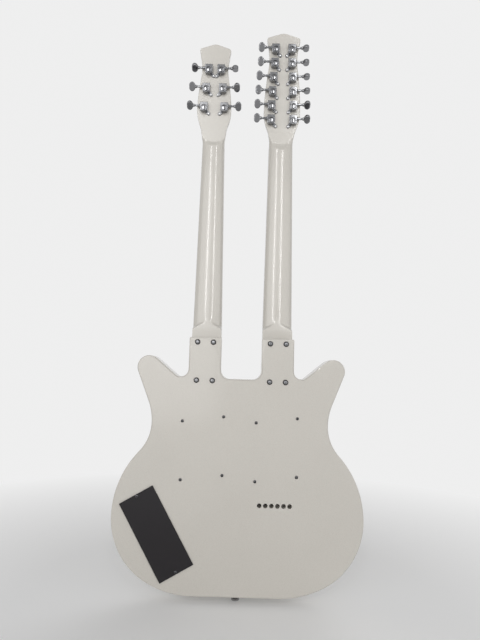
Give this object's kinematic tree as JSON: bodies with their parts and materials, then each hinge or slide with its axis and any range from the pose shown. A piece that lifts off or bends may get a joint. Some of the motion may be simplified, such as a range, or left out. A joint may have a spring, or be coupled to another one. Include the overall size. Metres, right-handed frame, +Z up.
{
  "type": "double-neck electric guitar",
  "caption": "Electric guitar body with two bolt-on necks, one with six strings and one with doubled courses, geared tuners, tube pickups, knobs and switches.",
  "frame": {"origin": "seat of the end strap button, in the middle of the bottom rim at half the body's depth", "axes": "+Z up along the necks to the heads, -Y out of the back, +Y out of the front where the strings are, +X to the twelve-string neck"},
  "size_m": [0.4356, 0.0644, 1.0368],
  "materials": {
    "body_paint": "pearl white gloss paint over wood and hardboard",
    "black_plate": "glossy black plate",
    "rosewood": "oiled rosewood",
    "fret_wire": "polished nickel silver",
    "nut_metal": "satin aluminium",
    "chrome": "polished chrome",
    "string_wire": "bright nickel-wound steel",
    "plain_steel": "plain plated steel",
    "knob_plastic": "cream plastic"
  },
  "bodies": {
    "guitar": {"body_core": "body_paint", "body_back": "body_paint", "body_top": "body_paint", "control_cover": "black_plate", "neck_six": "body_paint", "neck_twelve": "body_paint", "fretboard_six": "rosewood", "fretboard_twelve": "rosewood", "frets": "fret_wire", "nuts": "nut_metal", "tuner_housings": "chrome", "pickups": "chrome", "neck_screws": "chrome", "back_screws": "chrome", "bridge_plates": "chrome", "saddles": "chrome", "strings": "string_wire", "pots_and_switches": "plain_steel", "output_jack": "chrome", "strap_buttons": "chrome"},
    "tuner_post_six_1": {"tuner_post_six_1": "chrome"},
    "tuner_button_six_1": {"tuner_button_six_1": "chrome"},
    "tuner_post_six_2": {"tuner_post_six_2": "chrome"},
    "tuner_button_six_2": {"tuner_button_six_2": "chrome"},
    "tuner_post_six_3": {"tuner_post_six_3": "chrome"},
    "tuner_button_six_3": {"tuner_button_six_3": "chrome"},
    "tuner_post_six_4": {"tuner_post_six_4": "chrome"},
    "tuner_button_six_4": {"tuner_button_six_4": "chrome"},
    "tuner_post_six_5": {"tuner_post_six_5": "chrome"},
    "tuner_button_six_5": {"tuner_button_six_5": "chrome"},
    "tuner_post_six_6": {"tuner_post_six_6": "chrome"},
    "tuner_button_six_6": {"tuner_button_six_6": "chrome"},
    "tuner_post_twelve_1": {"tuner_post_twelve_1": "chrome"},
    "tuner_button_twelve_1": {"tuner_button_twelve_1": "chrome"},
    "tuner_post_twelve_2": {"tuner_post_twelve_2": "chrome"},
    "tuner_button_twelve_2": {"tuner_button_twelve_2": "chrome"},
    "tuner_post_twelve_3": {"tuner_post_twelve_3": "chrome"},
    "tuner_button_twelve_3": {"tuner_button_twelve_3": "chrome"},
    "tuner_post_twelve_4": {"tuner_post_twelve_4": "chrome"},
    "tuner_button_twelve_4": {"tuner_button_twelve_4": "chrome"},
    "tuner_post_twelve_5": {"tuner_post_twelve_5": "chrome"},
    "tuner_button_twelve_5": {"tuner_button_twelve_5": "chrome"},
    "tuner_post_twelve_6": {"tuner_post_twelve_6": "chrome"},
    "tuner_button_twelve_6": {"tuner_button_twelve_6": "chrome"},
    "tuner_post_twelve_7": {"tuner_post_twelve_7": "chrome"},
    "tuner_button_twelve_7": {"tuner_button_twelve_7": "chrome"},
    "tuner_post_twelve_8": {"tuner_post_twelve_8": "chrome"},
    "tuner_button_twelve_8": {"tuner_button_twelve_8": "chrome"},
    "tuner_post_twelve_9": {"tuner_post_twelve_9": "chrome"},
    "tuner_button_twelve_9": {"tuner_button_twelve_9": "chrome"},
    "tuner_post_twelve_10": {"tuner_post_twelve_10": "chrome"},
    "tuner_button_twelve_10": {"tuner_button_twelve_10": "chrome"},
    "tuner_post_twelve_11": {"tuner_post_twelve_11": "chrome"},
    "tuner_button_twelve_11": {"tuner_button_twelve_11": "chrome"},
    "tuner_post_twelve_12": {"tuner_post_twelve_12": "chrome"},
    "tuner_button_twelve_12": {"tuner_button_twelve_12": "chrome"},
    "volume_knob": {"volume_knob": "knob_plastic"},
    "tone_knob": {"tone_knob": "knob_plastic"},
    "pickup_switch": {"pickup_switch": "chrome"},
    "neck_switch": {"neck_switch": "chrome"}
  },
  "joints": [
    {"name": "tuner_button_six_1_turn", "type": "hinge", "parent": "guitar", "child": "tuner_button_six_1", "pos_m": [-0.09104, -0.00147, 0.88223], "axis": [-1, 0, 0], "continuous": true},
    {"name": "tuner_post_six_1_turn", "type": "hinge", "parent": "guitar", "child": "tuner_post_six_1", "pos_m": [-0.08379, 0.016, 0.87863], "axis": [0, 0.9945, 0.1045], "continuous": true},
    {"name": "tuner_button_six_2_turn", "type": "hinge", "parent": "guitar", "child": "tuner_button_six_2", "pos_m": [-0.08745, -0.0052, 0.91763], "axis": [-1, 0, 0], "continuous": true},
    {"name": "tuner_post_six_2_turn", "type": "hinge", "parent": "guitar", "child": "tuner_post_six_2", "pos_m": [-0.0802, 0.01228, 0.91404], "axis": [0, 0.9945, 0.1045], "continuous": true},
    {"name": "tuner_button_six_3_turn", "type": "hinge", "parent": "guitar", "child": "tuner_button_six_3", "pos_m": [-0.08345, -0.00892, 0.95304], "axis": [-1, 0, 0], "continuous": true},
    {"name": "tuner_post_six_3_turn", "type": "hinge", "parent": "guitar", "child": "tuner_post_six_3", "pos_m": [-0.0762, 0.00855, 0.94944], "axis": [0, 0.9945, 0.1045], "continuous": true},
    {"name": "tuner_button_six_4_turn", "type": "hinge", "parent": "guitar", "child": "tuner_button_six_4", "pos_m": [-0.03816, -0.00147, 0.88223], "axis": [1, 0, 0], "continuous": true},
    {"name": "tuner_post_six_4_turn", "type": "hinge", "parent": "guitar", "child": "tuner_post_six_4", "pos_m": [-0.04541, 0.016, 0.87863], "axis": [0, 0.9945, 0.1045], "continuous": true},
    {"name": "tuner_button_six_5_turn", "type": "hinge", "parent": "guitar", "child": "tuner_button_six_5", "pos_m": [-0.04175, -0.0052, 0.91763], "axis": [1, 0, 0], "continuous": true},
    {"name": "tuner_post_six_5_turn", "type": "hinge", "parent": "guitar", "child": "tuner_post_six_5", "pos_m": [-0.049, 0.01228, 0.91404], "axis": [0, 0.9945, 0.1045], "continuous": true},
    {"name": "tuner_button_six_6_turn", "type": "hinge", "parent": "guitar", "child": "tuner_button_six_6", "pos_m": [-0.04575, -0.00892, 0.95304], "axis": [1, 0, 0], "continuous": true},
    {"name": "tuner_post_six_6_turn", "type": "hinge", "parent": "guitar", "child": "tuner_post_six_6", "pos_m": [-0.053, 0.00855, 0.94944], "axis": [0, 0.9945, 0.1045], "continuous": true},
    {"name": "tuner_button_twelve_1_turn", "type": "hinge", "parent": "guitar", "child": "tuner_button_twelve_1", "pos_m": [0.03656, 0.00067, 0.86184], "axis": [-1, 0, 0], "continuous": true},
    {"name": "tuner_post_twelve_1_turn", "type": "hinge", "parent": "guitar", "child": "tuner_post_twelve_1", "pos_m": [0.04381, 0.01814, 0.85825], "axis": [0, 0.9945, 0.1045], "continuous": true},
    {"name": "tuner_button_twelve_2_turn", "type": "hinge", "parent": "guitar", "child": "tuner_button_twelve_2", "pos_m": [0.03686, -0.00212, 0.88839], "axis": [-1, 0, 0], "continuous": true},
    {"name": "tuner_post_twelve_2_turn", "type": "hinge", "parent": "guitar", "child": "tuner_post_twelve_2", "pos_m": [0.04411, 0.01535, 0.8848], "axis": [0, 0.9945, 0.1045], "continuous": true},
    {"name": "tuner_button_twelve_3_turn", "type": "hinge", "parent": "guitar", "child": "tuner_button_twelve_3", "pos_m": [0.03816, -0.00491, 0.91495], "axis": [-1, 0, 0], "continuous": true},
    {"name": "tuner_post_twelve_3_turn", "type": "hinge", "parent": "guitar", "child": "tuner_post_twelve_3", "pos_m": [0.04541, 0.01256, 0.91135], "axis": [0, 0.9945, 0.1045], "continuous": true},
    {"name": "tuner_button_twelve_4_turn", "type": "hinge", "parent": "guitar", "child": "tuner_button_twelve_4", "pos_m": [0.03936, -0.0077, 0.9415], "axis": [-1, 0, 0], "continuous": true},
    {"name": "tuner_post_twelve_4_turn", "type": "hinge", "parent": "guitar", "child": "tuner_post_twelve_4", "pos_m": [0.04661, 0.00977, 0.93791], "axis": [0, 0.9945, 0.1045], "continuous": true},
    {"name": "tuner_button_twelve_5_turn", "type": "hinge", "parent": "guitar", "child": "tuner_button_twelve_5", "pos_m": [0.04124, -0.0105, 0.96805], "axis": [-1, 0, 0], "continuous": true},
    {"name": "tuner_post_twelve_5_turn", "type": "hinge", "parent": "guitar", "child": "tuner_post_twelve_5", "pos_m": [0.04849, 0.00698, 0.96446], "axis": [0, 0.9945, 0.1045], "continuous": true},
    {"name": "tuner_button_twelve_6_turn", "type": "hinge", "parent": "guitar", "child": "tuner_button_twelve_6", "pos_m": [0.04217, -0.01329, 0.99461], "axis": [-1, 0, 0], "continuous": true},
    {"name": "tuner_post_twelve_6_turn", "type": "hinge", "parent": "guitar", "child": "tuner_post_twelve_6", "pos_m": [0.04942, 0.00418, 0.99101], "axis": [0, 0.9945, 0.1045], "continuous": true},
    {"name": "tuner_button_twelve_7_turn", "type": "hinge", "parent": "guitar", "child": "tuner_button_twelve_7", "pos_m": [0.09264, 0.00067, 0.86184], "axis": [1, 0, 0], "continuous": true},
    {"name": "tuner_post_twelve_7_turn", "type": "hinge", "parent": "guitar", "child": "tuner_post_twelve_7", "pos_m": [0.08539, 0.01814, 0.85825], "axis": [0, 0.9945, 0.1045], "continuous": true},
    {"name": "tuner_button_twelve_8_turn", "type": "hinge", "parent": "guitar", "child": "tuner_button_twelve_8", "pos_m": [0.09234, -0.00212, 0.88839], "axis": [1, 0, 0], "continuous": true},
    {"name": "tuner_post_twelve_8_turn", "type": "hinge", "parent": "guitar", "child": "tuner_post_twelve_8", "pos_m": [0.08509, 0.01535, 0.8848], "axis": [0, 0.9945, 0.1045], "continuous": true},
    {"name": "tuner_button_twelve_9_turn", "type": "hinge", "parent": "guitar", "child": "tuner_button_twelve_9", "pos_m": [0.09104, -0.00491, 0.91495], "axis": [1, 0, 0], "continuous": true},
    {"name": "tuner_post_twelve_9_turn", "type": "hinge", "parent": "guitar", "child": "tuner_post_twelve_9", "pos_m": [0.08379, 0.01256, 0.91135], "axis": [0, 0.9945, 0.1045], "continuous": true},
    {"name": "tuner_button_twelve_10_turn", "type": "hinge", "parent": "guitar", "child": "tuner_button_twelve_10", "pos_m": [0.08984, -0.0077, 0.9415], "axis": [1, 0, 0], "continuous": true},
    {"name": "tuner_post_twelve_10_turn", "type": "hinge", "parent": "guitar", "child": "tuner_post_twelve_10", "pos_m": [0.08259, 0.00977, 0.93791], "axis": [0, 0.9945, 0.1045], "continuous": true},
    {"name": "tuner_button_twelve_11_turn", "type": "hinge", "parent": "guitar", "child": "tuner_button_twelve_11", "pos_m": [0.08796, -0.0105, 0.96805], "axis": [1, 0, 0], "continuous": true},
    {"name": "tuner_post_twelve_11_turn", "type": "hinge", "parent": "guitar", "child": "tuner_post_twelve_11", "pos_m": [0.08071, 0.00698, 0.96446], "axis": [0, 0.9945, 0.1045], "continuous": true},
    {"name": "tuner_button_twelve_12_turn", "type": "hinge", "parent": "guitar", "child": "tuner_button_twelve_12", "pos_m": [0.08703, -0.01329, 0.99461], "axis": [1, 0, 0], "continuous": true},
    {"name": "tuner_post_twelve_12_turn", "type": "hinge", "parent": "guitar", "child": "tuner_post_twelve_12", "pos_m": [0.07978, 0.00418, 0.99101], "axis": [0, 0.9945, 0.1045], "continuous": true},
    {"name": "volume_knob_turn", "type": "hinge", "parent": "guitar", "child": "volume_knob", "pos_m": [-0.1386, 0.021, 0.10215], "axis": [0, 1, 0], "range_deg": [0, 300]},
    {"name": "tone_knob_turn", "type": "hinge", "parent": "guitar", "child": "tone_knob", "pos_m": [-0.1251, 0.021, 0.07877], "axis": [0, 1, 0], "range_deg": [0, 300]},
    {"name": "pickup_switch_tilt", "type": "hinge", "parent": "guitar", "child": "pickup_switch", "pos_m": [-0.1656, 0.021, 0.14892], "axis": [1, 0, 0], "range_deg": [-14, 14]},
    {"name": "neck_switch_tilt", "type": "hinge", "parent": "guitar", "child": "neck_switch", "pos_m": [-0.1521, 0.021, 0.12553], "axis": [1, 0, 0], "range_deg": [-14, 14]}
  ],
  "couplings": [
    {"joint": "tuner_post_six_1_turn", "follows": "tuner_button_six_1_turn", "ratio": -0.0625},
    {"joint": "tuner_post_six_2_turn", "follows": "tuner_button_six_2_turn", "ratio": -0.0625},
    {"joint": "tuner_post_six_3_turn", "follows": "tuner_button_six_3_turn", "ratio": -0.0625},
    {"joint": "tuner_post_six_4_turn", "follows": "tuner_button_six_4_turn", "ratio": 0.0625},
    {"joint": "tuner_post_six_5_turn", "follows": "tuner_button_six_5_turn", "ratio": 0.0625},
    {"joint": "tuner_post_six_6_turn", "follows": "tuner_button_six_6_turn", "ratio": 0.0625},
    {"joint": "tuner_post_twelve_1_turn", "follows": "tuner_button_twelve_1_turn", "ratio": -0.0625},
    {"joint": "tuner_post_twelve_2_turn", "follows": "tuner_button_twelve_2_turn", "ratio": -0.0625},
    {"joint": "tuner_post_twelve_3_turn", "follows": "tuner_button_twelve_3_turn", "ratio": -0.0625},
    {"joint": "tuner_post_twelve_4_turn", "follows": "tuner_button_twelve_4_turn", "ratio": -0.0625},
    {"joint": "tuner_post_twelve_5_turn", "follows": "tuner_button_twelve_5_turn", "ratio": -0.0625},
    {"joint": "tuner_post_twelve_6_turn", "follows": "tuner_button_twelve_6_turn", "ratio": -0.0625},
    {"joint": "tuner_post_twelve_7_turn", "follows": "tuner_button_twelve_7_turn", "ratio": 0.0625},
    {"joint": "tuner_post_twelve_8_turn", "follows": "tuner_button_twelve_8_turn", "ratio": 0.0625},
    {"joint": "tuner_post_twelve_9_turn", "follows": "tuner_button_twelve_9_turn", "ratio": 0.0625},
    {"joint": "tuner_post_twelve_10_turn", "follows": "tuner_button_twelve_10_turn", "ratio": 0.0625},
    {"joint": "tuner_post_twelve_11_turn", "follows": "tuner_button_twelve_11_turn", "ratio": 0.0625},
    {"joint": "tuner_post_twelve_12_turn", "follows": "tuner_button_twelve_12_turn", "ratio": 0.0625}
  ]
}
